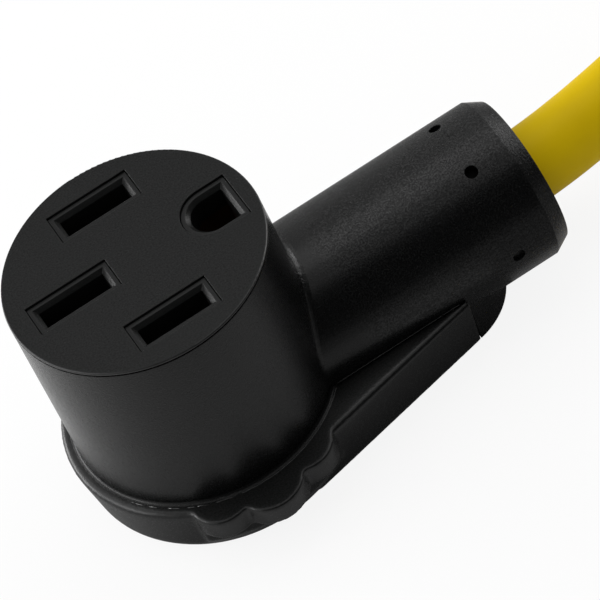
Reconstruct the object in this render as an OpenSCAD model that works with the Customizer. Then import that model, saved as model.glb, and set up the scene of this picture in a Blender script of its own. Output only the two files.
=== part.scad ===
// Short adapter lead for a caravan: a right-angle four-way socket on a thick cord with a plug.
// The socket stands on its grip base: X runs along the neck, Z up out of the socket face.

/* [Head] */
// Diameter of the round socket face
face_d = 62; // [60:0.5:68]
// Height of the socket face above the rest plane
head_h = 67.5; // [65:0.5:80]
// Radial growth of the head from the face down to its foot
head_draft = 0.7; // [0:0.1:2]
// Radius of the flare where the head meets the grip base
root_flare = 1; // [0.5:0.1:1.5]
// Wall thickness of the head around the contact carrier
head_wall = 3; // [2.4:0.1:4]
// Width of the shoulder inside the head that the carrier cap sits on
seat_w = 2; // [1.2:0.1:2.5]
// Radius of the blend between the head and the neck
neck_blend = 2.4; // [1:0.1:4]

/* [Face] */
// Thickness of the face plate
face_t = 4; // [3:0.1:6]
// Thickness of the rim by which the face plate covers the head's wall
cover_t = 0.7; // [0.6:0.1:1.5]
// Rounding of the face plate's upper edge
face_edge = 0.4; // [0.2:0.1:0.5]
// Depth of the shadow groove under the face plate
groove_depth = 0.5; // [0.2:0.1:1]
// Height of the shadow groove under the face plate
groove_h = 0.4; // [0.3:0.1:1]
// Length of a blade slot
slot_l = 16.6; // [15:0.1:18]
// Width of a blade slot
slot_w = 4.8; // [4.4:0.1:5.4]
// Width of the sloping lead-in around each opening
lead_in = 1; // [0.5:0.1:1.2]
// Width of the flat rim between a lead-in and the edge of its boss
rim_w = 1; // [0.5:0.1:1.2]
// How far the bosses stay below the face
boss_recess = 0.5; // [0.2:0.1:1]
// Distance of the live slots' middles from the face's rim
live_inset = 11.1; // [10.5:0.1:12]
// Distance of the neutral slot's middle from the face's rim
neutral_inset = 15.5; // [15:0.1:16.5]
// Distance of the earth opening's round centre from the face's rim
earth_inset = 10.8; // [10.5:0.1:12]
// Radius of the round side of the earth opening
earth_r = 4.9; // [4.5:0.1:5]
// Distance from the earth opening's round centre to its flat side
earth_flat = 5; // [4.6:0.1:5.2]

/* [Carrier] */
// Height of the contact carrier under the face plate
carrier_h = 20; // [18:0.5:22]
// Thickness of the carrier cap
cap_t = 4; // [3:0.1:5]
// Depth of the contact pockets from the carrier's underside
pocket_h = 14; // [12:0.5:15]
// Length of a blade contact along its slot
contact_l = 15.6; // [14:0.1:16.4]
// Thickness of the contact strip
contact_t = 1; // [0.8:0.1:1.2]
// Half width of a blade contact at its foot
contact_half = 3; // [2.6:0.1:3.4]
// Gap between the contact leaves where they grip a blade
grip_gap = 1.8; // [1.2:0.1:2.2]
// Gap between the contact leaves at their mouth
mouth_gap = 3.6; // [3:0.1:4]
// Thickness of the steel spring behind each contact leaf
spring_t = 0.5; // [0.3:0.1:0.7]
// Width of the contact tails
tail_w = 8; // [6:0.5:10]
// Length of the contact tails below the carrier cap
tail_drop = 8; // [6:0.5:10]
// Diameter of the crimp barrels
crimp_d = 6.4; // [5.6:0.2:7]
// Length of the crimp barrels
crimp_l = 9; // [7:0.5:10]
// Diameter of the insulated conductors
wire_d = 5; // [4:0.1:5.2]

/* [Neck] */
// Diameter of the neck
neck_d = 41.3; // [38:0.1:42]
// Height of the neck's underside above the rest plane
neck_lift = 1.15; // [0.8:0.05:3]
// Length of the neck from the head's axis to its end
neck_l = 90; // [84:1:110]
// Length of the chamfer at the neck's end
neck_chamfer_l = 4; // [2:0.5:6]
// Radial depth of the chamfer at the neck's end
neck_chamfer_r = 2.2; // [1:0.1:3]
// Wall thickness of the neck
neck_wall = 4.1; // [3.4:0.1:5]
// Thickness of the wall at the neck's end
neck_end_wall = 3; // [2:0.5:5]
// Diameter of the moulding pin holes in the neck
pin_hole_d = 3.2; // [2:0.1:4]
// Distance of the pin holes from the neck's end
pin_hole_back = 13.7; // [10:0.1:18]
// Angle of the pin holes around the neck, from the top
pin_hole_angle = 24.5; // [0:0.5:60]
// Angle of the blind pin marks around the neck, from the top
pin_mark_angle = 92; // [70:0.5:100]
// Depth of the blind pin marks
pin_mark_depth = 0.9; // [0.4:0.1:2]
// Length of the cord bush inside the neck
bush_l = 28; // [20:1:34]
// Distance of the round heel's middle from the tail's end, towards the head
heel_back = 4; // [1:0.5:10]
// How far the heel's foot stays inside the neck's sides
heel_inset = 1.65; // [0.8:0.05:3]
// Height of the heel above the rest plane
heel_gap = 0.4; // [0.2:0.1:0.8]
// Outward lean of the heel from its foot up to the neck
heel_draft = 0.8; // [0:0.1:2]

/* [Grip base] */
// Height of the grip base up to its ledge
base_h = 17.5; // [14:0.5:20]
// Width of the ledge around the foot of the head
ledge_w = 2.3; // [1.5:0.1:4]
// Chamfer of the base's upper lip
lip_edge = 1; // [0.4:0.1:1.2]
// Inward lean of the base's wall from the lip to the rest plane
base_draft = 2; // [0:0.1:3]
// Rounding of the base's lower edge
foot_edge = 4; // [2:0.5:6]
// Thickness of the base's floor
base_floor = 4; // [3:0.5:6]
// Height of the ring that locates the head on the base
ring_h = 4; // [2:0.5:6]
// Finger lobes on each side
lobe_count = 3; // [1:1:3]
// Angle between neighbouring lobes
lobe_step = 20.5; // [16:0.5:22]
// Radius of the middle lobe at the ledge
lobe_r = 8.4; // [7:0.1:9]
// How far the middle lobe stands out past the lip
lobe_out = 6.2; // [3:0.1:7]
// Radius of the lobes beside it
side_lobe_r = 7.4; // [6:0.1:9]
// How far the lobes beside it stand out past the lip
side_lobe_out = 3.8; // [2:0.1:7]
// Thickness of the flange that the lobes form
lobe_t = 5.5; // [4:0.1:8]
// Rise of the flange's underside from the base out to the lobes' tips
lobe_rise = 1.2; // [0.5:0.1:2]
// How far the base's wall swells past the lip under the flange
swell_out = 0.4; // [0.2:0.1:1]
// Where the straight sides of the tail start, from the head's axis
tail_root_x = 10; // [8:0.5:14]
// Width of the tail where its straight sides start
tail_root_w = 66.4; // [62:0.2:67]
// Length of the tail from the head's axis
tail_l = 61; // [54:0.5:66]
// How far the tail's end stands out past the neck on each side
tail_lap = 0.9; // [0.7:0.1:2]
// Inward lean of the tail's sides down to the rest plane
tail_lean = 2.8; // [1:0.1:4]

/* [Cord] */
// Diameter of the cord
cord_d = 18.5; // [16:0.1:20]
// Length of cord held inside the neck
cord_in = 26; // [22:1:28]

/* [Plug] */
// Length of the strain relief behind the plug
relief_l = 36; // [24:1:50]
// Radius of the strain relief at its cord end
relief_tip_r = 11.4; // [11:0.1:13]
// Radius of the strain relief at the plug body
relief_root_r = 15; // [14:0.1:16]
// Ribs along the strain relief
relief_ribs = 6; // [3:1:7]
// Length of the sleeve that seats the relief in the plug body
relief_sleeve_l = 10; // [6:1:12]
// Length of the plug body
plug_l = 56; // [50:1:70]
// Radius of the plug's front rim
plug_rim_r = 21.8; // [20:0.1:22]
// Length of the plug's front rim
plug_rim_l = 13; // [10:1:20]
// Radius of the plug body at its cord end
plug_tail_r = 16.4; // [15.5:0.1:18]
// Finger grooves around the plug body
plug_grooves = 12; // [6:1:16]
// Thickness of the plug's blade holder
holder_t = 9; // [7:0.5:12]
// Radius of the plug's blade holder
holder_r = 18; // [17:0.1:18.4]
// Width of the plug's flat blades
blade_w = 13; // [10:0.1:14]
// Thickness of the plug's flat blades
blade_t = 1.9; // [1.5:0.1:2.5]
// Reach of the flat blades out of the plug
blade_out = 19; // [15:0.5:24]
// Diameter of the plug's earth pin
pin_d = 7.1; // [6:0.1:8]
// Reach of the earth pin out of the plug
pin_out = 22; // [16:0.5:28]

/* [Hidden] */
$fn = 96;
// clearance between pieces that slide into one another, and a small overrun for cuts
fit = 0.15;
cord_fit = 0.3;
over = 1;
sides = [-1, 1];
tail_t = 1.2;
tail_slack = 0.3;
rebate_step = 0.5;
earth_roof = 3;
crimp_groove = 0.5;

// head and face
face_r = face_d / 2;
root_r = face_r + head_draft;
bore_r = face_r - head_wall;
cavity_r = bore_r - seat_w;
rebate_r = bore_r + rebate_step;
rim_z = head_h - face_t;
wall_z = head_h - cover_t - groove_h;
carrier_z = rim_z - carrier_h;
seat_z = carrier_z - cap_t;
boss_z = head_h - boss_recess;
live_y = face_r - live_inset;
neutral_reach = face_r - neutral_inset;
earth_reach = face_r - earth_inset;
tail_z = seat_z - tail_drop;
blade_slots = [[0, -live_y], [0, live_y], [-neutral_reach, 0]];

// contact leaf from the middle of its foot up to its mouth, across the slot
leaf_knee = pocket_h * 0.25;
leaf_grip = pocket_h * 0.72;
leaf_gap = 0.6;
leaf_path = [
    [0, contact_t / 2],
    [contact_half, contact_t / 2],
    [contact_half, leaf_knee],
    [(grip_gap + contact_t) / 2, leaf_grip],
    [(mouth_gap + contact_t) / 2, pocket_h - leaf_gap]
];
spring_path = [for (i = [1:len(leaf_path) - 2]) leaf_path[i]];
spring_in = contact_t / 2 + fit;
pocket_half = contact_half + spring_in + spring_t + fit;
pocket_l = contact_l + 2 * fit;
earth_sleeve_top = carrier_h - earth_roof;

// neck and bush
neck_r = neck_d / 2;
neck_axis_h = neck_r + neck_lift;
neck_bore_r = neck_r - neck_wall;
bush_end = neck_l - neck_end_wall;
cord_r = cord_d / 2;
cord_start = neck_l - cord_in;
// lay of the three conductors in the cord, their straight ends and the reach of their bends
wire_sides = 10;
wire_lay = 0.62;
wire_spread = wire_d * wire_lay;
wire_drop = 1.5;
wire_entry = 4;
bend_steps = 14;
live_run = 30;
live_aside = -3;
neutral_run = 30;
neutral_aside = 9;
earth_run = 18;
// places of the three conductors inside the cord, around its axis: across and up
wire_places = [for (a = [210, -30, 90]) wire_spread * [cos(a), sin(a)]];
crimp_places = [blade_slots[0], blade_slots[2], [earth_reach, 0]];
blend_steps = 6;
blend_rings = 40;
blend_depth = 1.5;
blend_sink = 0.15;
blend_sweep = 112;

// grip base
heel_edge = 0.5;
heel_x = tail_l - heel_back;
heel_r = neck_r - heel_inset;
ledge_r = root_r + root_flare;
lip_r = ledge_r + ledge_w;
foot_r = lip_r - base_draft;
lobe_z = base_h - lobe_t;
bowl_lean = 38;
arc_steps = 4;
tail_end_half = neck_r + tail_lap;

// route of the cord from inside the neck, out along the floor and into the plug
cord_route = [
    [cord_start, 0, neck_axis_h], [cord_start + 12, 0, neck_axis_h], [neck_l - 2, 0, neck_axis_h],
    [97, 0.5, 21.8], [106, 1.6, 21.8], [115, 3.3, 21.6], [125, 5.9, 21], [137, 9.7, 19.8],
    [150, 14.2, 18], [164, 19, 15.8], [178, 23.6, 13.6], [192, 27.8, 11.8], [206, 31.2, 10.4],
    [220, 33.7, 9.7], [234, 35.2, 9.5], [248, 35.8, 9.7], [262, 36, 10.6], [276, 36, 12],
    [290, 36, 14], [304, 36, 16.4], [318, 36, 18.8], [332, 36, 20.8], [344, 36, 21.9],
    [354, 36, 22.2], [366, 36, 22.2], [382, 36, 22.2], [398, 36, 22.2]
];
cord_sides = 12;
cord_end = cord_route[len(cord_route) - 1];

// plug, measured along its own axis from the strain relief's tip
plug_front = relief_l + plug_l;
cord_past = 2;
plug_cord_in = relief_l + relief_sleeve_l + cord_past;
sleeve_wall = 2.4;
sleeve_r = cord_r + cord_fit + sleeve_wall;
relief_core_r = sleeve_r - sleeve_wall / 2;
relief_step = relief_l / (relief_ribs + 1);
relief_groove_w = relief_step * 0.4;
plug_wall = 2.4;
plug_cavity_r = plug_tail_r - plug_wall;
holder_x = plug_front - holder_t;
blade_tail = 5;
plug_crimp_x = holder_x - blade_tail;
plug_crimp_l = crimp_l - over;
plug_groove_r = 2.2;
plug_groove_out = plug_groove_r * 0.6;
plug_groove_start = 0.15;
plug_groove_share = 0.7;
plug_rim_edge = 1.5;
// places on the plug's face: across, up and the lean of each flat blade
blade_places = [[-8.5, 4, 45], [8.5, 4, -45]];
pin_place = [0, -9.5];
pin_shoulder = 0.6;
pin_seat_d = pin_d - 2 * pin_shoulder;
plug_ends = [
    [blade_places[0][0], blade_places[0][1]], [blade_places[1][0], blade_places[1][1]], pin_place
];
plug_wire_starts = [for (i = [1, 0, 2]) -wire_places[i]];
plug_wire_shares = [0, 0.1, 0.2, 0.35, 0.5, 0.65, 0.8, 0.9, 1];
plug_wire_straight = 0.1;

// Helper functions

function unit(v) = v / norm(v);

// points of an arc of radius r about c between two angles
function arc(c, r, from, to) = [
    for (i = [0:arc_steps])
        let (a = from + (to - from) * i / arc_steps)
        c + r * [cos(a), sin(a)]
];

// direction of travel at point i of a route
function heading(route, i) =
    unit(route[min(i + 1, len(route) - 1)] - route[max(i - 1, 0)]);

// one ring of a tube across the route at point i
function ring(route, i, r, n, up) =
    let (t = heading(route, i), s = unit(cross(t, up)), u = cross(s, t))
    [for (k = [0:n - 1]) route[i] + r * (cos(360 * k / n) * s + sin(360 * k / n) * u)];

// side of a polyline moved by d to its left, with mitred corners
function moved(path, d) = [
    for (i = [0:len(path) - 1])
        let (
            a = unit(path[min(i + 1, len(path) - 1)] - path[min(i, len(path) - 2)]),
            b = unit(path[max(i, 1)] - path[max(i - 1, 0)]),
            m = unit(a + b)
        )
        path[i] + d / (m * a) * [-m[1], m[0]]
];

// outline of a strip that follows a polyline, between two distances from it
function strip(path, inner, outer) =
    let (far = moved(path, -outer), n = len(path))
    concat(moved(path, -inner), [for (i = [1:n]) far[n - i]]);

// Helper shapes

// closed solid through a row of rings of equal length, each clockwise about the way onward
module skin(rings) {
    n = len(rings[0]);
    last = (len(rings) - 1) * n;
    walls = [
        for (i = [0:len(rings) - 2], k = [0:n - 1])
            let (a = i * n + k, b = i * n + (k + 1) % n)
            each [[a, b, b + n], [a, b + n, a + n]]
    ];
    caps = [for (k = [1:n - 2]) each [[0, k + 1, k], [last, last + k, last + k + 1]]];
    polyhedron([for (loop = rings) each loop], concat(walls, caps));
}

// closed tube of n sides along a route
module swept_tube(route, r, n, up) {
    skin([for (i = [0:len(route) - 1]) ring(route, i, r, n, up)]);
}

// turned solid with a straight wall between a rounded lower and a rounded upper edge
module drum(r_low, r_high, h, e_low, e_high) {
    low = [r_low - e_low, e_low];
    high = [r_high - e_high, h - e_high];
    run = high - low;
    turn = atan2(run[1], run[0]) - acos((e_low - e_high) / norm(run));
    out = [cos(turn), sin(turn)];
    rotate_extrude() {
        polygon([
            [0, 0], [low[0], 0], low + e_low * out, high + e_high * out, [high[0], h], [0, h]
        ]);
        translate(low) intersection() {
            circle(e_low);
            translate([-low[0], -e_low]) square([r_low + e_low, 2 * e_low]);
        }
        translate(high) circle(e_high);
    }
}

// D-shaped outline of the earth opening, round towards the head's axis, grown by g
module earth_outline(g) {
    translate([earth_reach, 0]) {
        circle(earth_r + g);
        translate([0, -earth_r - g]) square([earth_flat + g, 2 * (earth_r + g)]);
    }
}

// rectangle of a blade slot at its place on the face, grown by g
module slot_outline(place, g) {
    translate(place) square([slot_l + 2 * g, slot_w + 2 * g], center = true);
}

// all four openings in the face, grown by g
module face_openings(g) {
    for (place = blade_slots)
        slot_outline(place, g);
    earth_outline(g);
}

// corners of a blade slot grown by g, at height z
function slot_corners(place, g, z) = [
    for (c = [[-1, -1], [1, -1], [1, 1], [-1, 1]])
        [place[0] + c[0] * (slot_l / 2 + g), place[1] + c[1] * (slot_w / 2 + g), z]
];

// corners of the earth opening's flat side grown by g, at height z
function earth_corners(g, z) = [
    for (c = [[0, -1], [1, -1], [1, 1], [0, 1]])
        [earth_reach + c[0] * (earth_flat + g), c[1] * (earth_r + g), z]
];

// sloping lead-ins, from each opening up past the top of its boss
module lead_ins() {
    low = boss_z - lead_in;
    high = boss_z + lead_in;
    for (place = blade_slots)
        skin([slot_corners(place, 2 * lead_in, high), slot_corners(place, 0, low)]);
    skin([earth_corners(2 * lead_in, high), earth_corners(0, low)]);
    translate([earth_reach, 0, low])
        cylinder(r1 = earth_r, r2 = earth_r + 2 * lead_in, h = 2 * lead_in);
}

module along_x(x, z) {
    translate([x, 0, z])
        rotate([0, 90, 0])
            children();
}

// Socket housing

// solid of revolution of the head, with the flare at its foot
module head_form() {
    rotate_extrude() difference() {
        polygon([
            [0, base_h], [ledge_r, base_h], [ledge_r, base_h + root_flare],
            [root_r, base_h + root_flare], [face_r, wall_z], [0, wall_z]
        ]);
        translate([ledge_r, base_h + root_flare]) circle(root_flare);
    }
}

// round neck with its chamfered end
module neck_form() {
    along_x(0, neck_axis_h) {
        cylinder(r = neck_r, h = neck_l - neck_chamfer_l);
        translate([0, 0, neck_l - neck_chamfer_l])
            cylinder(r1 = neck_r, r2 = neck_r - neck_chamfer_r, h = neck_chamfer_l);
    }
}

// section of the blend at angle a round the neck: an arc that touches the head and the neck
function blend_ring(a) =
    let (
        y = (neck_r + neck_blend) * sin(a),
        z = neck_axis_h + (neck_r + neck_blend) * cos(a),
        head = root_r - head_draft * (z - base_h) / (wall_z - base_h) + neck_blend,
        centre = [sqrt(head * head - y * y), y, z],
        to_head = -[centre[0], y, 0] / head,
        to_neck = -[0, sin(a), cos(a)],
        opening = acos(to_head * to_neck),
        root = centre + blend_depth * neck_blend / (1 + to_head * to_neck) * (to_head + to_neck)
    )
    concat([root], [
        for (k = [0:blend_steps])
            let (t = k / blend_steps, sunk = k % blend_steps == 0 ? blend_sink : 0)
            centre + (neck_blend + sunk) / sin(opening)
                * (sin(opening * (1 - t)) * to_head + sin(opening * t) * to_neck)
    ]);

// rounded blend where the neck runs into the head
module neck_blend_form() {
    intersection() {
        skin([for (a = [0:blend_rings]) blend_ring(blend_sweep * (2 * a / blend_rings - 1))]);
        translate([0, -neck_d, base_h]) cube([neck_l, 2 * neck_d, head_h]);
    }
}

// round heel that carries the neck behind the tail of the base
module heel_form() {
    intersection() {
        translate([heel_x, 0, heel_gap])
            drum(heel_r, heel_r + heel_draft, base_h - heel_gap, heel_edge, fit);
        translate([tail_l + fit, -neck_r, 0])
            cube([neck_l, neck_d, base_h]);
    }
}

module upper_housing() {
    color([0.10, 0.10, 0.10]) difference() {
        union() {
            head_form();
            neck_form();
            neck_blend_form();
            heel_form();
        }
        translate([0, 0, seat_z]) cylinder(r = bore_r, h = head_h);
        translate([0, 0, -over]) cylinder(r = cavity_r, h = seat_z + 2 * over);
        translate([0, 0, -over]) cylinder(r = rebate_r, h = base_h + ring_h + over);
        along_x(0, neck_axis_h) cylinder(r = neck_bore_r, h = bush_end);
        along_x(0, neck_axis_h) cylinder(r = cord_r + cord_fit, h = neck_l + over);
        for (s = sides) translate([neck_l - pin_hole_back, 0, neck_axis_h]) {
            rotate([s * pin_hole_angle, 0, 0])
                cylinder(d = pin_hole_d, h = neck_d);
            rotate([s * pin_mark_angle, 0, 0])
                translate([0, 0, neck_r - pin_mark_depth])
                    cylinder(d = pin_hole_d, h = neck_r);
        }
    }
}

module cord_bush() {
    color([0.16, 0.16, 0.16]) along_x(bush_end - bush_l, neck_axis_h) difference() {
        cylinder(r = neck_bore_r - fit, h = bush_l);
        translate([0, 0, -over]) cylinder(r = cord_r + cord_fit, h = bush_l + 2 * over);
    }
}

// Grip base

// round base with a flange of finger lobes on both sides, cut from posts by a bowl
module grip_form() {
    reach = lip_r + max(lobe_out, side_lobe_out) + over;
    swell_r = lip_r + swell_out;
    swell_z = foot_edge + (swell_r - foot_r) / tan(bowl_lean);
    intersection() {
        union() {
            cylinder(r1 = foot_r, r2 = lip_r, h = base_h - lip_edge);
            translate([0, 0, base_h - lip_edge])
                cylinder(r1 = lip_r, r2 = lip_r - lip_edge, h = lip_edge);
            for (s = sides, i = [0:lobe_count - 1]) {
                place = i - (lobe_count - 1) / 2;
                r = place == 0 ? lobe_r : side_lobe_r;
                out = place == 0 ? lobe_out : side_lobe_out;
                rotate([0, 0, s * 90 + place * lobe_step])
                    translate([lip_r + out - r, 0, -over])
                        cylinder(r = r, h = base_h + 2 * over);
            }
        }
        rotate_extrude() polygon(concat(
            [[0, 0]],
            arc([foot_r - foot_edge, foot_edge], foot_edge, -90, -bowl_lean),
            [[swell_r, swell_z], [swell_r, lobe_z - lobe_rise], [reach, lobe_z]],
            [[reach, base_h], [0, base_h]]
        ));
    }
}

// outline of the tail at height z, drawn in by g
function tail_outline(g, z) =
    let (
        root = tail_root_w / 2 - g,
        end = tail_end_half - g,
        half = [[tail_root_x / 2, root / 2], [tail_root_x, root], [tail_l, end]]
    )
    concat([for (p = half) [p[0], -p[1], z]], [for (i = [2:-1:0]) [half[i][0], half[i][1], z]]);

// straight-sided tail under the neck, leaning in from a rounded edge towards the rest plane
module tail_form() {
    edge = [for (a = [90:-30:0]) lip_edge * [1 - cos(a), 1 - sin(a)]];
    skin(concat(
        [for (e = edge) tail_outline(e[0], base_h - e[1])],
        [tail_outline(tail_lean, lip_edge), tail_outline(tail_lean + lip_edge / 2, 0)]
    ));
}

module grip_base() {
    color([0.12, 0.12, 0.12]) difference() {
        union() {
            grip_form();
            tail_form();
            cylinder(r = rebate_r - fit, h = base_h + ring_h - fit);
        }
        translate([0, 0, base_floor]) cylinder(r = cavity_r, h = head_h);
        difference() {
            along_x(0, neck_axis_h) cylinder(r = neck_r + fit, h = neck_l);
            translate([0, 0, -over]) cylinder(r = cavity_r - fit, h = head_h);
        }
    }
}

// Face and contact carrier

module face_plate() {
    color([0.15, 0.15, 0.15]) difference() {
        union() {
            translate([0, 0, head_h - cover_t]) drum(face_r, face_r, cover_t, face_edge / 4, face_edge);
            translate([0, 0, wall_z]) cylinder(r = face_r - groove_depth, h = groove_h + cover_t / 2);
            translate([0, 0, rim_z]) cylinder(r = bore_r - fit, h = wall_z - rim_z + groove_h);
        }
        translate([0, 0, rim_z - over])
            linear_extrude(face_t + 2 * over)
                face_openings(lead_in + rim_w + fit);
    }
}

module contact_carrier() {
    color([0.13, 0.13, 0.13]) difference() {
        intersection() {
            translate([0, 0, carrier_z]) cylinder(r = bore_r - fit, h = head_h);
            union() {
                translate([0, 0, carrier_z]) cylinder(r = bore_r, h = carrier_h);
                translate([0, 0, rim_z - over])
                    linear_extrude(boss_z - rim_z + over)
                        face_openings(lead_in + rim_w);
            }
        }
        translate([0, 0, carrier_z - over])
            linear_extrude(head_h)
                face_openings(0);
        for (place = blade_slots)
            translate([place[0], place[1], carrier_z + (pocket_h - over) / 2])
                cube([pocket_l, 2 * pocket_half, pocket_h + over], center = true);
        lead_ins();
        translate([0, 0, carrier_z - over])
            linear_extrude(earth_sleeve_top + over)
                earth_outline(contact_t + 2 * fit);
    }
}

module carrier_cap() {
    color([0.20, 0.20, 0.21]) translate([0, 0, seat_z]) difference() {
        cylinder(r = bore_r - fit, h = cap_t);
        for (place = concat(blade_slots, [[earth_reach, 0]]))
            translate([place[0], place[1], cap_t / 2])
                cube([tail_w + tail_slack, tail_t + tail_slack, cap_t + over], center = true);
    }
}

// Contacts

// tail that runs down through the cap, with its top in the contact's foot
module contact_tail(place, bottom) {
    translate([place[0] - tail_w / 2, place[1] - tail_t / 2, bottom])
        cube([tail_w, tail_t, carrier_z + contact_t / 2 - bottom]);
}

// turns an outline drawn across the slot so that it runs along the slot
module across_slot(place, l) {
    translate([place[0] - l / 2, place[1], carrier_z])
        rotate([90, 0, 90])
            linear_extrude(l)
                children();
}

// pair of gripping leaves on a common foot, with a tail
module blade_contact(place) {
    color([0.78, 0.62, 0.28]) {
        across_slot(place, contact_l) for (s = [0, 1])
            mirror([s, 0]) polygon(strip(leaf_path, -contact_t / 2, contact_t / 2));
        contact_tail(place, tail_z);
    }
}

module live_contact_x() { blade_contact(blade_slots[0]); }
module live_contact_y() { blade_contact(blade_slots[1]); }
module neutral_contact() { blade_contact(blade_slots[2]); }

// D-shaped sleeve with a closed foot and a straight tail
module earth_contact() {
    color([0.78, 0.62, 0.28]) {
        translate([0, 0, carrier_z]) difference() {
            linear_extrude(earth_sleeve_top - fit) earth_outline(contact_t + fit);
            translate([0, 0, contact_t]) linear_extrude(carrier_h) earth_outline(fit);
        }
        contact_tail([earth_reach, 0], tail_z);
    }
}

module contact_springs() {
    color([0.70, 0.71, 0.72]) for (place = blade_slots, s = [0, 1])
        across_slot(place, contact_l / 2)
            mirror([s, 0]) polygon(strip(spring_path, spring_in, spring_in + spring_t));
}

// strap that feeds the second live contact from the first
module live_jumper() {
    reach = live_y - tail_t / 2;
    lug_h = tail_drop / 2;
    color([0.72, 0.45, 0.20]) translate([-tail_w / 2, 0, tail_z]) rotate([90, 0, 90])
        linear_extrude(tail_w) difference() {
            translate([-reach, 0]) square([2 * reach, lug_h]);
            translate([-reach + tail_t, tail_t]) square([2 * (reach - tail_t), lug_h]);
        }
}

// Conductors

// rounded barrel with two crimped waists, standing on the origin
module crimp_barrel(l) {
    difference() {
        cylinder(d = crimp_d, h = l);
        for (part = [1, 2]) translate([0, 0, l * part / 3]) rotate_extrude()
            translate([crimp_d / 2, 0]) circle(crimp_groove);
    }
}

module crimp_barrels() {
    color([0.75, 0.76, 0.77]) for (place = crimp_places)
        translate([place[0], place[1], tail_z - crimp_l])
            crimp_barrel(crimp_l);
}

function wire_end(i, x) = [x, wire_places[i][0], neck_axis_h + wire_places[i][1]];

// points between the ends of a smooth curve that leaves a towards b and reaches d from c
function bend(a, b, c, d) = [
    for (i = [0:bend_steps])
        let (t = i / bend_steps, u = 1 - t)
        u * u * u * a + 3 * u * u * t * b + 3 * u * t * t * c + t * t * t * d
];

// route of a conductor from its crimp barrel down, aside by so much, round and into the cord
function head_wire_route(i, aside, run) =
    let (
        top = [crimp_places[i][0], crimp_places[i][1], tail_z - crimp_l],
        start = top - [0, 0, wire_drop],
        end = wire_end(i, cord_start - wire_entry),
        low = [start[0], start[1] + aside / 2, base_floor + wire_d / 2]
    )
    concat([top], bend(start, low, end + [-run, aside, 0], end), [wire_end(i, cord_start)]);

module live_wire() {
    color([0.10, 0.10, 0.11])
        swept_tube(head_wire_route(0, live_aside, live_run), wire_d / 2, wire_sides, [0, 1, 0]);
}

module neutral_wire() {
    color([0.90, 0.90, 0.88])
        swept_tube(head_wire_route(1, neutral_aside, neutral_run), wire_d / 2, wire_sides, [0, 1, 0]);
}

module earth_wire() {
    color([0.10, 0.45, 0.20])
        swept_tube(head_wire_route(2, 0, earth_run), wire_d / 2, wire_sides, [0, 1, 0]);
}

module cord() {
    color([0.86, 0.74, 0.05]) swept_tube(cord_route, cord_r, cord_sides, [0, 0, 1]);
}

// Plug

// the plug's own axis, from the tip of its strain relief
module at_plug(x) {
    translate([cord_end[0] - plug_cord_in + x, cord_end[1], cord_end[2]])
        rotate([90, 0, 90])
            children();
}

module plug_strain_relief() {
    color([0.10, 0.10, 0.10]) at_plug(0) difference() {
        union() {
            cylinder(r1 = relief_tip_r, r2 = relief_root_r, h = relief_l);
            cylinder(r = sleeve_r, h = relief_l + relief_sleeve_l);
        }
        for (i = [1:relief_ribs]) translate([0, 0, i * relief_step - relief_groove_w / 2])
            difference() {
                cylinder(r = relief_root_r + over, h = relief_groove_w);
                translate([0, 0, -over])
                    cylinder(r = relief_core_r, h = relief_groove_w + 2 * over);
            }
        translate([0, 0, -over]) cylinder(r = cord_r + cord_fit, h = plug_front);
    }
}

module plug_body() {
    taper_l = plug_l - plug_rim_l;
    neck_in = plug_rim_r - 2 * plug_rim_edge;
    lean = atan((neck_in - plug_tail_r) / taper_l);
    color([0.10, 0.10, 0.10]) at_plug(relief_l) difference() {
        rotate_extrude() polygon([
            [0, 0], [plug_tail_r, 0], [neck_in, taper_l], [plug_rim_r, taper_l + 2 * plug_rim_edge],
            [plug_rim_r, plug_l - plug_rim_edge], [plug_rim_r - plug_rim_edge, plug_l], [0, plug_l]
        ]);
        for (i = [0:plug_grooves - 1]) rotate([0, 0, (i + 0.5) * 360 / plug_grooves])
            translate([plug_tail_r + plug_groove_out, 0, taper_l * plug_groove_start])
                rotate([0, lean, 0])
                    cylinder(r = plug_groove_r, h = taper_l * plug_groove_share);
        translate([0, 0, -over]) cylinder(r = sleeve_r + fit, h = plug_l);
        translate([0, 0, relief_sleeve_l]) cylinder(r = plug_cavity_r, h = plug_l);
        translate([0, 0, plug_l - holder_t]) cylinder(r = holder_r + fit, h = plug_l);
    }
}

// flat blade with a chamfered tip, standing on its edge at the origin
module flat_blade() {
    l = blade_tail + holder_t + blade_out;
    nose = blade_w / 5;
    rotate([90, 0, 0]) translate([0, 0, -blade_t / 2]) linear_extrude(blade_t) polygon([
        [-blade_w / 2, 0], [blade_w / 2, 0], [blade_w / 2, l - nose], [blade_w / 2 - nose, l],
        [nose - blade_w / 2, l], [-blade_w / 2, l - nose]
    ]);
}

module at_blade(i) {
    at_plug(holder_x - blade_tail)
        translate([blade_places[i][0], blade_places[i][1], 0])
            rotate([0, 0, blade_places[i][2]])
                children();
}

module plug_live_blade() { color([0.80, 0.66, 0.32]) at_blade(0) flat_blade(); }
module plug_neutral_blade() { color([0.80, 0.66, 0.32]) at_blade(1) flat_blade(); }

// round pin with a domed tip, whose shoulder sits on the holder's face
module plug_earth_pin() {
    free_l = pin_out - pin_d / 2;
    color([0.80, 0.66, 0.32]) at_plug(plug_front) translate(pin_place) {
        translate([0, 0, -holder_t - blade_tail]) cylinder(d = pin_seat_d, h = holder_t + blade_tail);
        cylinder(d = pin_d, h = free_l);
        translate([0, 0, free_l]) sphere(d = pin_d);
    }
}

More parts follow.
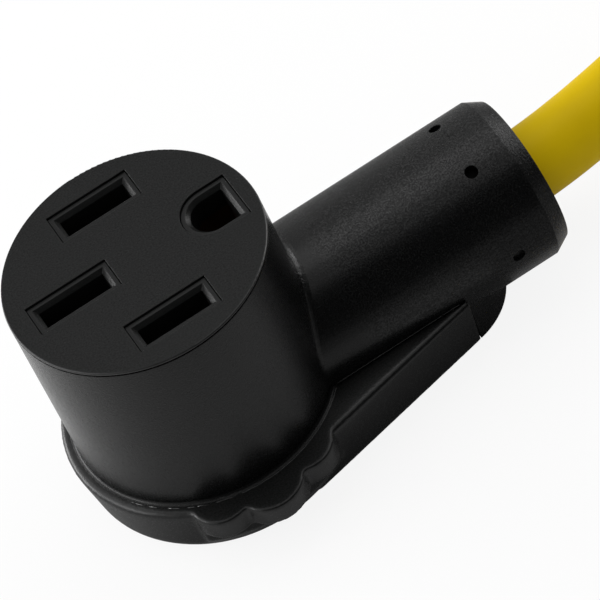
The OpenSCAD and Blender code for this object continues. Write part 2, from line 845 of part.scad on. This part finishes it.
module plug_blade_holder() {
    color([0.14, 0.14, 0.14]) difference() {
        at_plug(holder_x) cylinder(r = holder_r, h = holder_t);
        for (i = [0, 1]) at_blade(i)
            translate([0, 0, blade_tail + holder_t / 2])
                cube([blade_w + 2 * fit, blade_t + 2 * fit, holder_t + 2 * over], center = true);
        at_plug(holder_x - over) translate(pin_place)
            cylinder(d = pin_seat_d + 2 * fit, h = holder_t + 2 * over);
    }
}

module plug_crimps() {
    color([0.75, 0.76, 0.77]) for (place = plug_ends)
        at_plug(plug_crimp_x - plug_crimp_l) translate(place) crimp_barrel(plug_crimp_l);
}

// conductor that spreads from the cord's end to its crimp barrel in the plug
module plug_wire(i) {
    from = plug_cord_in;
    to = plug_crimp_x - plug_crimp_l;
    a = plug_wire_starts[i];
    at_plug(0) swept_tube([
        for (t = plug_wire_shares)
            let (
                run = (t - plug_wire_straight) / (1 - 2 * plug_wire_straight),
                s = (1 - cos(180 * min(1, max(0, run)))) / 2,
                p = a * (1 - s) + plug_ends[i] * s
            )
            [p[0], p[1], from + (to - from) * t]
    ], wire_d / 2, wire_sides, [0, 1, 0]);
}

module plug_live_wire() { color([0.10, 0.10, 0.11]) plug_wire(0); }
module plug_neutral_wire() { color([0.90, 0.90, 0.88]) plug_wire(1); }
module plug_earth_wire() { color([0.10, 0.45, 0.20]) plug_wire(2); }

upper_housing();
grip_base();
face_plate();
contact_carrier();
carrier_cap();
live_contact_x();
live_contact_y();
neutral_contact();
earth_contact();
contact_springs();
live_jumper();
live_wire();
neutral_wire();
earth_wire();
crimp_barrels();
cord_bush();
cord();
plug_strain_relief();
plug_body();
plug_blade_holder();
plug_live_blade();
plug_neutral_blade();
plug_earth_pin();
plug_live_wire();
plug_neutral_wire();
plug_earth_wire();
plug_crimps();
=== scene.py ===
import math

import bpy
from mathutils import Matrix, Vector, noise


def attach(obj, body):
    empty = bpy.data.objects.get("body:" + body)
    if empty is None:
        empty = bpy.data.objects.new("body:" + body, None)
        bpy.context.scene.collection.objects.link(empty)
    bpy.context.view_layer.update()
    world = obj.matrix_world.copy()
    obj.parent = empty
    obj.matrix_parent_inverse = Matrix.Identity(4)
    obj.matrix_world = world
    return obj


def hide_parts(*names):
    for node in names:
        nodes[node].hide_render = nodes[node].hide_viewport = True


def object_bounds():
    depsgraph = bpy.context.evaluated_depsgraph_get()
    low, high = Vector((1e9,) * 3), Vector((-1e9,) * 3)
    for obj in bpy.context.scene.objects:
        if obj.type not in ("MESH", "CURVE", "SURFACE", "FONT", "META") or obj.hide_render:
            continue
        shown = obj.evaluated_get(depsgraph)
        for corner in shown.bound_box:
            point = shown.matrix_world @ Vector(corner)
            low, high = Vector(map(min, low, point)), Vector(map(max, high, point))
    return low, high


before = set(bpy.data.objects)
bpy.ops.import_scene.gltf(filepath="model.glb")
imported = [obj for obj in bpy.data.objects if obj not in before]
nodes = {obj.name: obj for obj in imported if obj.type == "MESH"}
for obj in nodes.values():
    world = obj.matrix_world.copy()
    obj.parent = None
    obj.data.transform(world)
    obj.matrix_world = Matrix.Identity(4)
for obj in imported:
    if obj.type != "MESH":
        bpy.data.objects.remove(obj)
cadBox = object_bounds()
mm = 0.001
print("frame loaded:", len(nodes), "nodes")

scene = bpy.context.scene
scene.view_settings.view_transform = "Standard"


def clearSelection():
    bpy.ops.object.select_all(action="DESELECT")


def selectOnly(piece):
    clearSelection()
    bpy.context.view_layer.objects.active = piece
    piece.select_set(True)


# camera at the photograph's angle: long lens, rolled so that the neck climbs to the right
viewOf = {
    "target": (29.55, 0.0, 25.4),  # mm, as the distance
    "distance": 867.7,
    "azimuth": -8.885,
    "elevation": 48.876,
    "roll": -25.961,
    "lens": 227.0,
    "sensor": 36.0,
    "clip": (0.05, 20),  # metres
}


def viewAxes():
    azimuth = math.radians(viewOf["azimuth"])
    elevation = math.radians(viewOf["elevation"])
    roll = math.radians(viewOf["roll"])
    flat = math.cos(elevation)
    back = Vector((math.sin(azimuth) * flat, -math.cos(azimuth) * flat, math.sin(elevation)))
    level = Vector((math.cos(azimuth), math.sin(azimuth), 0))
    rise = back.cross(level)
    right = level * math.cos(roll) + rise * math.sin(roll)
    return right, back.cross(right), back


def placeCamera():
    right, up, back = viewAxes()
    turn = Matrix((right, up, back)).transposed()
    eye = (Vector(viewOf["target"]) + back * viewOf["distance"]) * mm
    bpy.ops.object.camera_add(location=eye, rotation=turn.to_euler())
    camera = bpy.context.object
    camera.name = "photoCamera"
    camera.data.lens = viewOf["lens"]
    camera.data.sensor_width = viewOf["sensor"]
    camera.data.clip_start, camera.data.clip_end = viewOf["clip"]
    scene.camera = camera


placeCamera()
print("camera placed")


def addNode(tree, kind, inputs=None, **settings):
    node = tree.nodes.new(kind)
    for key, value in settings.items():
        setattr(node, key, value)
    for socket, value in (inputs or {}).items():
        node.inputs[socket].default_value = value
    return node


def newMaterial(name):
    material = bpy.data.materials.new(name)
    material.use_nodes = True
    tree = material.node_tree
    tree.nodes.clear()
    output = addNode(tree, "ShaderNodeOutputMaterial")
    return material, tree, output


# moulding grain in every finish: a fine height for bump, its speckles, and slow clouds
grainOf = {"fineDetail": 3.0, "fineRoughness": 0.6, "cloudDetail": 4.0, "speckleSpan": (0.3, 0.7)}


def grainGroup():
    group = bpy.data.node_groups.new("mouldGrain", "ShaderNodeTree")
    for name in ("Grain Scale", "Cloud Scale"):
        group.interface.new_socket(name, in_out="INPUT", socket_type="NodeSocketFloat")
    for name in ("Height", "Speckle", "Cloud"):
        group.interface.new_socket(name, in_out="OUTPUT", socket_type="NodeSocketFloat")
    low, high = grainOf["speckleSpan"]
    take = addNode(group, "NodeGroupInput")
    give = addNode(group, "NodeGroupOutput")
    place = addNode(group, "ShaderNodeTexCoord")
    fineInputs = {"Detail": grainOf["fineDetail"], "Roughness": grainOf["fineRoughness"]}
    fine = addNode(group, "ShaderNodeTexNoise", fineInputs)
    slow = addNode(group, "ShaderNodeTexNoise", {"Detail": grainOf["cloudDetail"]})
    spread = addNode(group, "ShaderNodeMapRange", {"From Min": low, "From Max": high})
    link = group.links.new
    link(place.outputs["Object"], fine.inputs["Vector"])
    link(place.outputs["Object"], slow.inputs["Vector"])
    link(take.outputs["Grain Scale"], fine.inputs["Scale"])
    link(take.outputs["Cloud Scale"], slow.inputs["Scale"])
    link(fine.outputs["Fac"], give.inputs["Height"])
    link(fine.outputs["Fac"], spread.inputs["Value"])
    link(spread.outputs["Result"], give.inputs["Speckle"])
    link(slow.outputs["Fac"], give.inputs["Cloud"])
    return group


grain = grainGroup()
edgeSamples = 6
plainSockets = {"ior": "IOR", "metallic": "Metallic", "coatRoughness": "Coat Roughness"}


def grained(name, look, tintMask):
    # tint, bump and rounded edges of any finish; the finish itself links the gloss
    material, tree, output = newMaterial(name)
    link = tree.links.new
    scales = {"Grain Scale": look["grainScale"], "Cloud Scale": look["cloudScale"]}
    colours = {"A": (*look["dark"], 1), "B": (*look["light"], 1)}
    smooth, rough = look["roughness"]
    shader = addNode(tree, "ShaderNodeBsdfPrincipled")
    for key, socket in plainSockets.items():
        if key in look:
            shader.inputs[socket].default_value = look[key]
    mould = addNode(tree, "ShaderNodeGroup", scales, node_tree=grain)
    tint = addNode(tree, "ShaderNodeMix", colours, data_type="RGBA")
    gloss = addNode(tree, "ShaderNodeMapRange", {"To Min": smooth, "To Max": rough})
    bump = addNode(tree, "ShaderNodeBump", {"Strength": look["bump"], "Distance": look["bumpDepth"] * mm})
    if "edge" in look:
        edge = addNode(tree, "ShaderNodeBevel", {"Radius": look["edge"] * mm}, samples=edgeSamples)
        link(edge.outputs["Normal"], bump.inputs["Normal"])
    link(mould.outputs[tintMask], tint.inputs["Factor"])
    link(tint.outputs["Result"], shader.inputs["Base Color"])
    link(mould.outputs["Cloud"], gloss.inputs["Value"])
    link(mould.outputs["Height"], bump.inputs["Height"])
    link(bump.outputs["Normal"], shader.inputs["Normal"])
    link(shader.outputs["BSDF"], output.inputs["Surface"])
    return material, tree, shader, mould, gloss


def clouded(name, look):
    # metals and the cord's jacket: tint and gloss drift slowly
    material, tree, shader, mould, gloss = grained(name, look, "Cloud")
    tree.links.new(gloss.outputs["Result"], shader.inputs["Roughness"])
    return material


def plastic(name, look):
    # moulded plastic and rubber: the grain speckles the tint and the gloss
    material, tree, shader, mould, gloss = grained(name, look, "Speckle")
    link = tree.links.new
    rough = addNode(tree, "ShaderNodeMath", {1: look["speckle"]}, operation="MULTIPLY_ADD")
    link(mould.outputs["Speckle"], rough.inputs[0])
    link(gloss.outputs["Result"], rough.inputs[2])
    if "zone" in look:
        rough = zoned(tree, shader, mould, rough, look["zone"])
    link(rough.outputs[0], shader.inputs["Roughness"])
    return material


def zoned(tree, shader, mould, rough, zone):
    # an even coat up to a place on one axis; past it the coat glints with the grain and the rest may be matt
    start, full = zone["from"]
    least, most = zone["glint"]
    place = addNode(tree, "ShaderNodeTexCoord")
    apart = addNode(tree, "ShaderNodeSeparateXYZ")
    reach = addNode(tree, "ShaderNodeMapRange", {"From Min": start * mm, "From Max": full * mm})
    swing = addNode(
        tree, "ShaderNodeMapRange", {"To Min": least - zone["coat"], "To Max": most - zone["coat"]})
    coat = addNode(tree, "ShaderNodeMath", {2: zone["coat"]}, operation="MULTIPLY_ADD")
    matt = addNode(tree, "ShaderNodeMath", {1: zone["matt"]}, operation="MULTIPLY_ADD")
    link = tree.links.new
    link(place.outputs["Object"], apart.inputs["Vector"])
    link(apart.outputs[zone["axis"]], reach.inputs["Value"])
    link(mould.outputs["Speckle"], swing.inputs["Value"])
    link(swing.outputs["Result"], coat.inputs[0])
    link(reach.outputs["Result"], coat.inputs[1])
    link(coat.outputs[0], shader.inputs["Coat Weight"])
    link(reach.outputs["Result"], matt.inputs[0])
    link(rough.outputs[0], matt.inputs[2])
    return matt


# finishes: bump depths, edges and zones in mm
blackLook = {
    "dark": (0.0012, 0.0013, 0.0013), "light": (0.0032, 0.0034, 0.0034),
    "roughness": (0.19, 0.25), "ior": 1.28, "edge": 0.4,
    "grainScale": 2400, "cloudScale": 45, "speckle": 0.08, "bump": 0.7, "bumpDepth": 0.16,
}
housingLook = dict(
    blackLook, ior=1.17, coatRoughness=0.26,
    zone={"axis": "X", "from": (34, 40), "coat": 0.225, "glint": (0, 0.45), "matt": 0.0})
baseLook = dict(
    blackLook, dark=(0.002, 0.0021, 0.0021), light=(0.0046, 0.0049, 0.0048),
    roughness=(0.18, 0.25), ior=1.216, edge=0.5, bump=0.5, coatRoughness=0.3,
    zone={"axis": "Z", "from": (17.42, 17.48), "coat": 0.24, "glint": (0, 0.6), "matt": 0.2})
faceLook = dict(
    blackLook, dark=(0.0026, 0.0028, 0.0027), light=(0.0055, 0.0059, 0.0058),
    roughness=(0.3, 0.38), ior=1.17, speckle=0.12, bump=0.45, coatRoughness=0.4,
    zone={"axis": "Z", "from": (67.4, 67.5), "coat": 0.54, "glint": (0, 0.18), "matt": 0.0})
carrierLook = dict(
    blackLook, dark=faceLook["dark"], light=faceLook["light"],
    roughness=(0.3, 0.36), ior=1.245, edge=0.3, speckle=0.06, bump=0.25)
flashLook = dict(blackLook, roughness=(0.06, 0.2), ior=1.8, edge=0.05, bump=0.1)
rubberLook = dict(blackLook, roughness=(0.5, 0.62), bump=0.2)
blackWire = dict(blackLook, roughness=(0.4, 0.5), bump=0.1)
whiteWire = dict(blackWire, dark=(0.62, 0.62, 0.58), light=(0.70, 0.70, 0.66), ior=1.45)
greenWire = dict(blackWire, dark=(0.03, 0.2, 0.07), light=(0.045, 0.25, 0.09), ior=1.45)
brassLook = {
    "dark": (0.50, 0.34, 0.13), "light": (0.64, 0.47, 0.21),
    "roughness": (0.22, 0.4), "metallic": 1.0, "edge": 0.25,
    "grainScale": 1400, "cloudScale": 160, "bump": 0.1, "bumpDepth": 0.05,
}
# the contacts' brass is painted far darker than the blades': painted shade of the deep slots they sit in
slotShadeContactLook = dict(
    brassLook, dark=(0.055, 0.03, 0.019), light=(0.11, 0.06, 0.035), roughness=(0.4, 0.6))
steelLook = dict(brassLook, dark=(0.45, 0.46, 0.47), light=(0.6, 0.61, 0.62))
copperLook = dict(brassLook, dark=(0.55, 0.24, 0.12), light=(0.68, 0.34, 0.19))

finishes = {
    "housingPlastic": (plastic, housingLook, ["upper_housing"]),
    "basePlastic": (plastic, baseLook, ["grip_base"]),
    "facePlastic": (plastic, faceLook, ["face_plate"]),
    "carrierPlastic": (plastic, carrierLook, ["contact_carrier", "carrier_cap"]),
    "plugPlastic": (plastic, blackLook, ["plug_body", "plug_blade_holder"]),
    "reliefRubber": (plastic, rubberLook, ["plug_strain_relief"]),
    "bushRubber": (plastic, rubberLook, ["cord_bush"]),
    "blackInsulation": (plastic, blackWire, ["live_wire", "plug_live_wire"]),
    "whiteInsulation": (plastic, whiteWire, ["neutral_wire", "plug_neutral_wire"]),
    "greenInsulation": (plastic, greenWire, ["earth_wire", "plug_earth_wire"]),
    "contactBrass": (
        clouded, slotShadeContactLook, ["live_contact_x", "live_contact_y", "neutral_contact", "earth_contact"]),
    "bladeBrass": (clouded, brassLook, ["plug_live_blade", "plug_neutral_blade", "plug_earth_pin"]),
    "springSteel": (clouded, steelLook, ["contact_springs", "crimp_barrels", "plug_crimps"]),
    "jumperCopper": (clouded, copperLook, ["live_jumper"]),
}
for finish, (maker, look, members) in finishes.items():
    material = maker(finish, look)
    for member in members:
        mesh = nodes[member].data
        mesh.materials.clear()
        mesh.materials.append(material)
print("finishes on", sum(len(members) for maker, look, members in finishes.values()), "nodes")


# cord: one smooth curve through the route that its solid takes, in mm
cordOf = {
    "diameter": 18.5,
    "length": 340,
    "exit": (90, 0, 21.8),
    "roundness": 10,
    "smoothness": 6,
    "route": [
        (64, 0, 21.8), (76, 0, 21.8), (88, 0, 21.8), (97, 0.5, 21.8), (106, 1.6, 21.8),
        (115, 3.3, 21.6), (125, 5.9, 21), (137, 9.7, 19.8), (150, 14.2, 18), (164, 19, 15.8),
        (178, 23.6, 13.6), (192, 27.8, 11.8), (206, 31.2, 10.4), (220, 33.7, 9.7), (234, 35.2, 9.5),
        (248, 35.8, 9.7), (262, 36, 10.6), (276, 36, 12), (290, 36, 14), (304, 36, 16.4),
        (318, 36, 18.8), (332, 36, 20.8), (344, 36, 21.9), (354, 36, 22.2), (366, 36, 22.2),
        (382, 36, 22.2), (398, 36, 22.2),
    ],
    "plugPieces": [
        "plug_strain_relief", "plug_body", "plug_blade_holder", "plug_live_blade", "plug_neutral_blade",
        "plug_earth_pin", "plug_live_wire", "plug_neutral_wire", "plug_earth_wire", "plug_crimps",
    ],
    "jacket": {
        "dark": (0.53, 0.356, 0.0006), "light": (0.66, 0.462, 0.001),
        "roughness": (0.38, 0.52), "ior": 1.16,
        "grainScale": 900, "cloudScale": 60, "bump": 0.15, "bumpDepth": 0.1,
    },
}


def makeCord():
    line = bpy.data.curves.new("cordLine", "CURVE")
    line.dimensions = "3D"
    line.bevel_depth = cordOf["diameter"] / 2 * mm
    line.bevel_resolution = cordOf["roundness"]
    line.resolution_u = cordOf["smoothness"]
    line.use_fill_caps = True
    spline = line.splines.new("BEZIER")
    spline.bezier_points.add(len(cordOf["route"]) - 1)
    for point, place in zip(spline.bezier_points, cordOf["route"]):
        point.co = Vector(place) * mm
        point.handle_left_type = point.handle_right_type = "AUTO"
    cord = bpy.data.objects.new("powerCord", line)
    scene.collection.objects.link(cord)
    line.materials.append(clouded("cordJacket", cordOf["jacket"]))
    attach(cord, "root")
    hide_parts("cord")


makeCord()
print("cord made")


# grip base: the solid's own shape with every moulded edge rounded
gripShell = {
    "node": "grip_base", "slot": "base_plastic",
    "merge": 0.002, "voxel": 0.5,  # mm
    "rounds": 10, "share": 0.5,  # of smoothing
}


def softenedCopy(name, shell):
    piece = bpy.data.objects.new(name, nodes[shell["node"]].data.copy())
    scene.collection.objects.link(piece)
    selectOnly(piece)
    bpy.ops.object.mode_set(mode="EDIT")
    bpy.ops.mesh.select_all(action="SELECT")
    bpy.ops.mesh.remove_doubles(threshold=shell["merge"] * mm)
    bpy.ops.object.mode_set(mode="OBJECT")
    even = piece.modifiers.new("evenMesh", "REMESH")
    even.mode = "VOXEL"
    even.voxel_size = shell["voxel"] * mm
    bpy.ops.object.modifier_apply(modifier="evenMesh")
    soft = piece.modifiers.new("softEdges", "SMOOTH")
    soft.factor = shell["share"]
    soft.iterations = shell["rounds"]
    bpy.ops.object.modifier_apply(modifier="softEdges")
    bpy.ops.object.shade_smooth()
    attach(piece, "root")
    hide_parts(shell["node"])
    return piece


gripBase = softenedCopy("gripBaseShell", gripShell)
print("grip base rounded:", len(gripBase.data.polygons), "faces")


# moulding flash: a thin uneven bead along the seams between the housing and its base
flashOf = {
    "slot": "housing_plastic",
    "thick": 0.13, "roundness": 2,
    "radius": 32.75, "height": 17.5, "tilt": 0.0052, "steps": 1000,  # tilt is the rise along x
    "proudAt": -125, "proudSpan": 35, "faint": 0.6,  # degrees round the head, and the share elsewhere
    "uneven": 1.2, "unevenScale": 0.9,
    "sink": 0.35, "sinkScale": 2.0,
    "runs": {"y": 20.3, "start": 25.5, "end": 59.0, "share": 0.75, "steps": 90},
}


def flashRing():
    # round the head: proud at the front left, where the photograph shows it, and faint elsewhere
    places = []
    shares = []
    for step in range(flashOf["steps"]):
        degrees = 360 * step / flashOf["steps"] - 180
        angle = math.radians(degrees)
        place = Vector((math.cos(angle), math.sin(angle), 0)) * flashOf["radius"]
        proud = math.exp(-((degrees - flashOf["proudAt"]) / flashOf["proudSpan"]) ** 2)
        swell = 1 + flashOf["uneven"] * proud * noise.noise(place / flashOf["unevenScale"])
        drift = flashOf["sink"] * proud * noise.noise(place / flashOf["sinkScale"])
        place.z = flashOf["height"] + flashOf["tilt"] * place.x + drift
        places.append(place)
        shares.append((flashOf["faint"] + (1 - flashOf["faint"]) * proud) * swell)
    return places, shares, True


def flashRun(side):
    # straight along one side of the tail
    runs = flashOf["runs"]
    pitch = (runs["end"] - runs["start"]) / runs["steps"]
    places = []
    for step in range(runs["steps"] + 1):
        places.append(Vector((runs["start"] + step * pitch, side * runs["y"], flashOf["height"])))
    return places, [runs["share"]] * len(places), False


def makeFlash():
    line = bpy.data.curves.new("flashLine", "CURVE")
    line.dimensions = "3D"
    line.bevel_depth = flashOf["thick"] * mm
    line.bevel_resolution = flashOf["roundness"]
    line.use_fill_caps = True
    for places, shares, closed in (flashRing(), flashRun(-1), flashRun(1)):
        spline = line.splines.new("POLY")
        spline.use_cyclic_u = closed
        spline.points.add(len(places) - 1)
        for point, place, share in zip(spline.points, places, shares):
            point.co = (*place * mm, 1)
            point.radius = share
    bead = bpy.data.objects.new("seamFlash", line)
    scene.collection.objects.link(bead)
    selectOnly(bead)
    bpy.ops.object.convert(target="MESH")
    bpy.ops.object.shade_smooth()
    bead = bpy.context.object
    bead.data.materials.append(plastic("flashPlastic", flashLook))
    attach(bead, "root")


makeFlash()
print("seam flash made")


# white floor that keeps the shadow: part of it glows to the camera and in reflections; metres
floorOf = {"size": 8.0, "colour": 0.85, "cameraGlow": 0.88, "mirrorGlow": 0.1}


def makeFloor():
    clearSelection()
    bpy.ops.mesh.primitive_plane_add(size=floorOf["size"], location=(0, 0, cadBox[0][2]))
    floor = bpy.context.object
    floor.name = "floor"
    material, tree, output = newMaterial("floorWhite")
    rays = addNode(tree, "ShaderNodeLightPath")
    mirrored = addNode(tree, "ShaderNodeMath", operation="MAXIMUM")
    direct = addNode(tree, "ShaderNodeMath", {1: -floorOf["cameraGlow"], 2: 1.0}, operation="MULTIPLY_ADD")
    share = addNode(tree, "ShaderNodeMath", {1: -floorOf["mirrorGlow"]}, operation="MULTIPLY_ADD")
    plain = addNode(tree, "ShaderNodeBsdfDiffuse", {"Color": (floorOf["colour"],) * 3 + (1,)})
    glow = addNode(tree, "ShaderNodeEmission")
    pick = addNode(tree, "ShaderNodeMixShader")
    link = tree.links.new
    link(rays.outputs["Is Camera Ray"], direct.inputs[0])
    link(rays.outputs["Is Glossy Ray"], mirrored.inputs[0])
    link(rays.outputs["Is Transmission Ray"], mirrored.inputs[1])
    link(mirrored.outputs[0], share.inputs[0])
    link(direct.outputs[0], share.inputs[2])
    link(share.outputs[0], pick.inputs["Fac"])
    link(glow.outputs["Emission"], pick.inputs[1])
    link(plain.outputs["BSDF"], pick.inputs[2])
    link(pick.outputs["Shader"], output.inputs["Surface"])
    floor.data.materials.append(material)


# world: plain white to the camera and in reflections, and a soft fill for the rest
worldOf = {"fill": 0.42, "white": (1, 1, 1, 1)}


def makeWorld():
    world = bpy.data.worlds.new("studio")
    scene.world = world
    world.use_nodes = True
    tree = world.node_tree
    tree.nodes.clear()
    output = addNode(tree, "ShaderNodeOutputWorld")
    rays = addNode(tree, "ShaderNodeLightPath")
    seen = addNode(tree, "ShaderNodeMath", operation="MAXIMUM")
    seenThrough = addNode(tree, "ShaderNodeMath", operation="MAXIMUM")
    fill = addNode(tree, "ShaderNodeBackground", {"Color": worldOf["white"], "Strength": worldOf["fill"]})
    white = addNode(tree, "ShaderNodeBackground", {"Color": worldOf["white"]})
    pick = addNode(tree, "ShaderNodeMixShader")
    link = tree.links.new
    link(rays.outputs["Is Camera Ray"], seen.inputs[0])
    link(rays.outputs["Is Glossy Ray"], seen.inputs[1])
    link(seen.outputs[0], seenThrough.inputs[0])
    link(rays.outputs["Is Transmission Ray"], seenThrough.inputs[1])
    link(seenThrough.outputs[0], pick.inputs["Fac"])
    link(fill.outputs["Background"], pick.inputs[1])
    link(white.outputs["Background"], pick.inputs[2])
    link(pick.outputs["Shader"], output.inputs["Surface"])


# lamps by their way from the object in the camera's own axes: right, up, towards the camera; metres
lampsOf = {
    "keyLeft": {"way": (-1.0, 0.35, 0.2), "distance": 1.1, "size": (0.9, 0.9), "watts": 4.0},
    "topSoft": {"way": (0.1, 0.95, 0.3), "distance": 1.1, "size": (1.0, 0.7), "watts": 2.6},
    "zenith": {"way": (-0.4, 0.7, 0.59), "distance": 1.1, "size": (0.56, 0.56), "watts": 1.8},
    "lowLeft": {"way": (-0.955, 0.075, -0.25), "distance": 1.1, "size": (0.7, 0.26), "watts": 7},
    "sideLeft": {"way": (-0.904, -0.199, 0.355), "distance": 1.1, "size": (0.5, 0.4), "watts": 4.2},
    "edgeRight": {"way": (0.66, 0.86, -0.28), "distance": 1.0, "size": (0.5, 0.4), "watts": 4.5},
}


def makeLamps():
    right, up, back = viewAxes()
    target = Vector(viewOf["target"]) * mm
    for name, lamp in lampsOf.items():
        x, y, z = lamp["way"]
        way = (right * x + up * y + back * z).normalized()
        bpy.ops.object.light_add(type="AREA", location=target + way * lamp["distance"])
        light = bpy.context.object
        light.name = name
        light.rotation_euler = way.to_track_quat("Z", "Y").to_euler()
        light.data.shape = "RECTANGLE"
        light.data.size, light.data.size_y = lamp["size"]
        light.data.energy = lamp["watts"]


# grey cards that only reflections see: painted shade in the black plastic's reflections, for its dark core,
# and painted shade of the floor around and under the object as reflections see it; metres and degrees
upright = (90, 0, 0)
sideways = (90, 0, 90)
lying = (0, 0, 0)
shadeCardsOf = {
    "frontShadeCard": {"middle": (0.1, -0.95, 0.9), "turn": upright, "size": (2.2, 1.8), "tone": 0.07},
    "rightShadeCard": {"middle": (1.15, -0.45, 0.62), "turn": sideways, "size": (1.1, 1.24), "tone": 0.06},
    "nearFloorShadeCard": {"middle": (0.2425, -0.06, 0.0004), "turn": lying, "size": (0.335, 0.076), "tone": 0.45},
    "farFloorShadeCard": {"middle": (0.15, -0.5, 0.0004), "turn": lying, "size": (1.5, 0.8), "tone": 0.45},
    "backShadeCard": {"middle": (0.2, 1.1, 0.25), "turn": upright, "size": (1.6, 0.5), "tone": 0.65},
    "baseFloorShadeCard": {"middle": (0, 0, 0.0003), "turn": lying, "radius": 0.045, "corners": 64, "tone": 0.38},
    "tailFloorShadeCard": {"middle": (0.043, 0, 0.0005), "turn": lying, "size": (0.064, 0.071), "tone": 0.36},
    "backFloorShadeCard": {"middle": (0.3, 0.42, 0.0004), "turn": lying, "size": (0.6, 0.72), "tone": 0.35},
}


def makeShadeCards():
    for name, card in shadeCardsOf.items():
        material, tree, output = newMaterial(name + "Grey")
        grey = addNode(tree, "ShaderNodeBsdfDiffuse", {"Color": (card["tone"],) * 3 + (1,)})
        tree.links.new(grey.outputs["BSDF"], output.inputs["Surface"])
        clearSelection()
        turn = [math.radians(value) for value in card["turn"]]
        if "radius" in card:
            bpy.ops.mesh.primitive_circle_add(
                vertices=card["corners"], radius=card["radius"], fill_type="NGON",
                location=card["middle"], rotation=turn)
        else:
            bpy.ops.mesh.primitive_plane_add(size=1, location=card["middle"], rotation=turn)
            bpy.context.object.scale = (*card["size"], 1)
        shadeCard = bpy.context.object
        shadeCard.name = name
        shadeCard.data.materials.append(material)
        for rays in ("camera", "diffuse", "shadow", "transmission"):
            setattr(shadeCard, "visible_" + rays, False)


makeFloor()
makeWorld()
makeLamps()
makeShadeCards()
print("floor, world and lamps placed")
